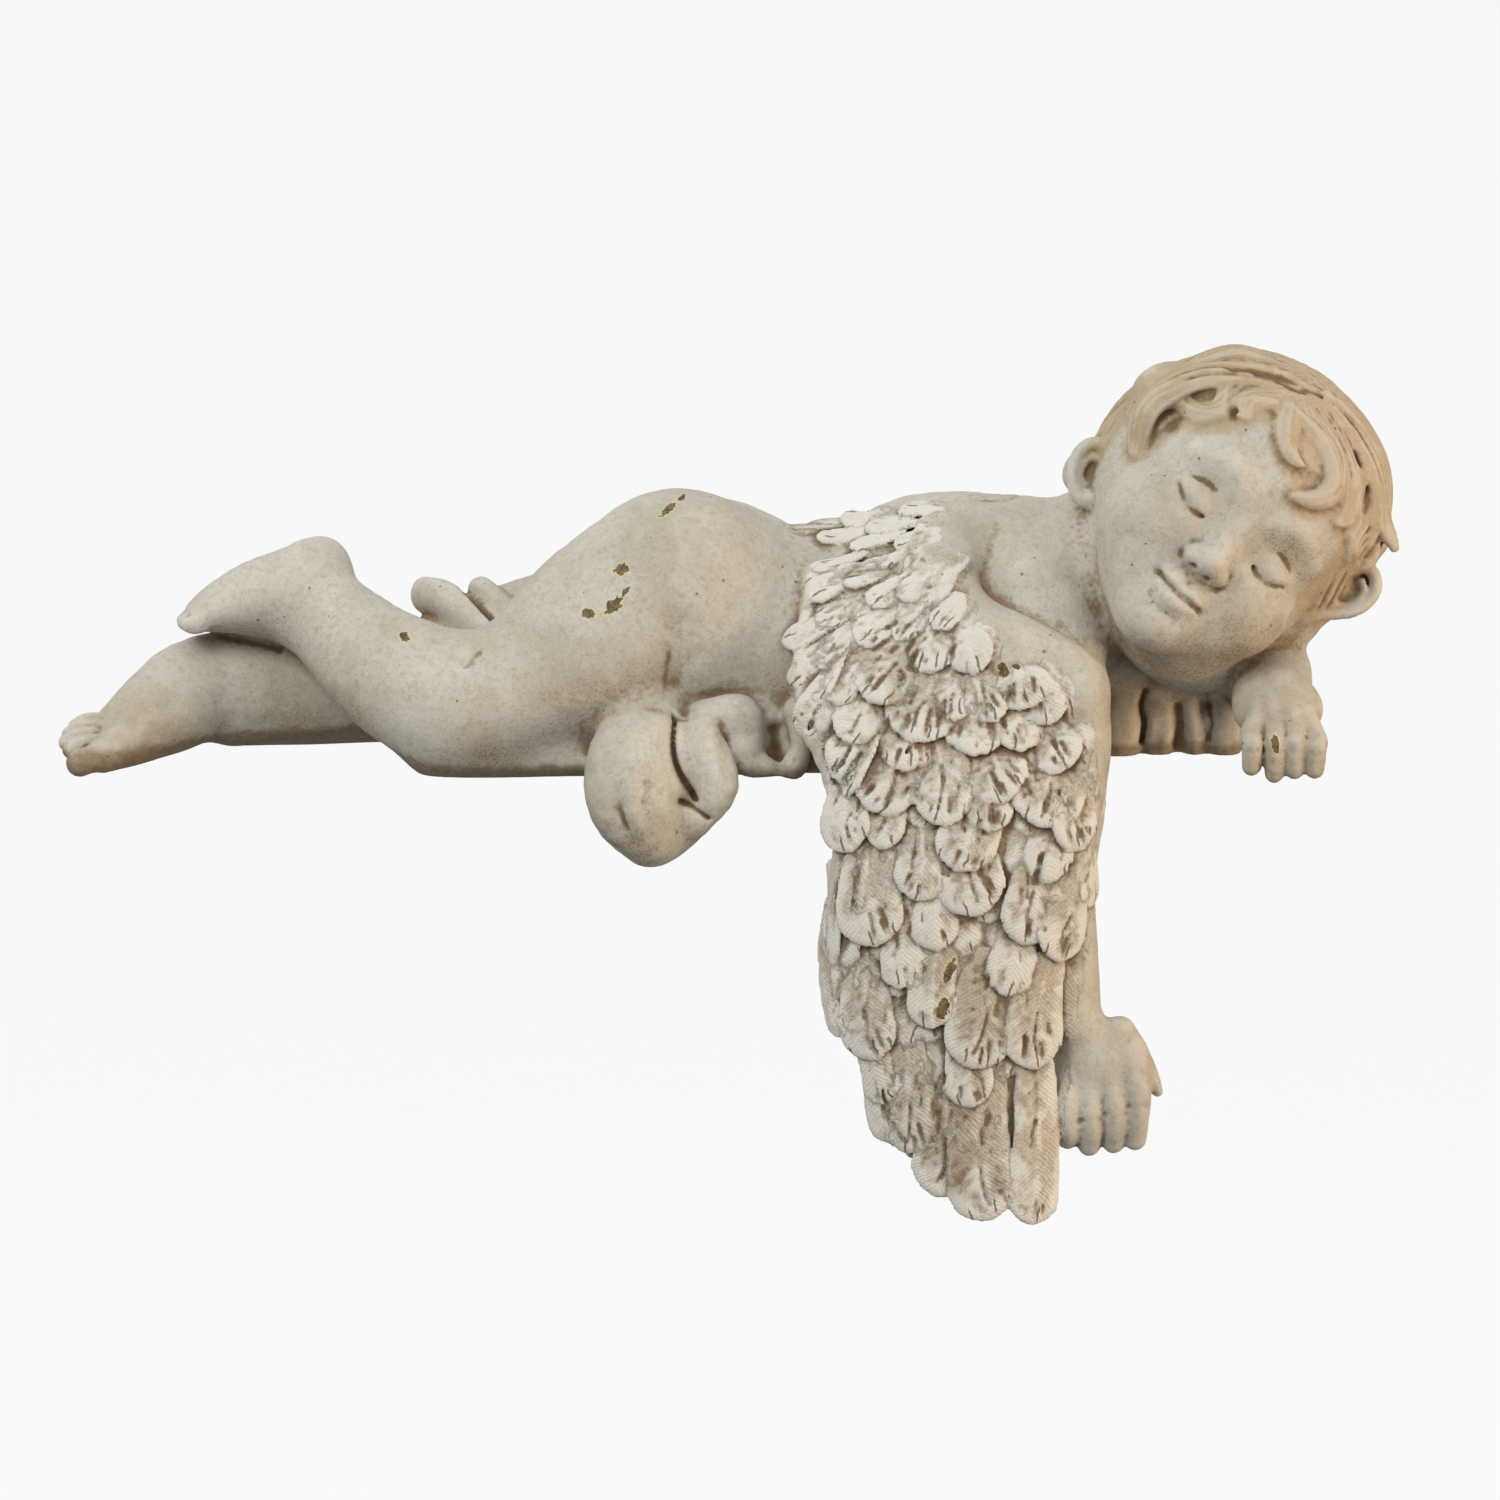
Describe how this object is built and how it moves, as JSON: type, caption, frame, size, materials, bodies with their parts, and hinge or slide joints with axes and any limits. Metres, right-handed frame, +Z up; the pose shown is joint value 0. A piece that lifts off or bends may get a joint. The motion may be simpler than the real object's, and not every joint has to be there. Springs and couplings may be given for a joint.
{
  "type": "sleeping angel statue",
  "caption": "Winged cherub asleep on its front, cast whole to lie along a shelf's edge with a wing, an arm and a fold of its cloth hanging over it.",
  "frame": {"origin": "on the flat underside, below the belly, 45 mm behind the front edge of the shelf that the figure lies on", "axes": "+X along the shelf to the head end, +Y back onto the shelf, +Z up; the wing, the arm and the loop of cloth hang below z = 0 in front of the edge"},
  "size_m": [0.4828, 0.1554, 0.3129],
  "materials": {
    "cast": "matte, whitewashed and worn"
  },
  "bodies": {
    "root": {"sleeping_angel": "cast"}
  },
  "joints": []
}
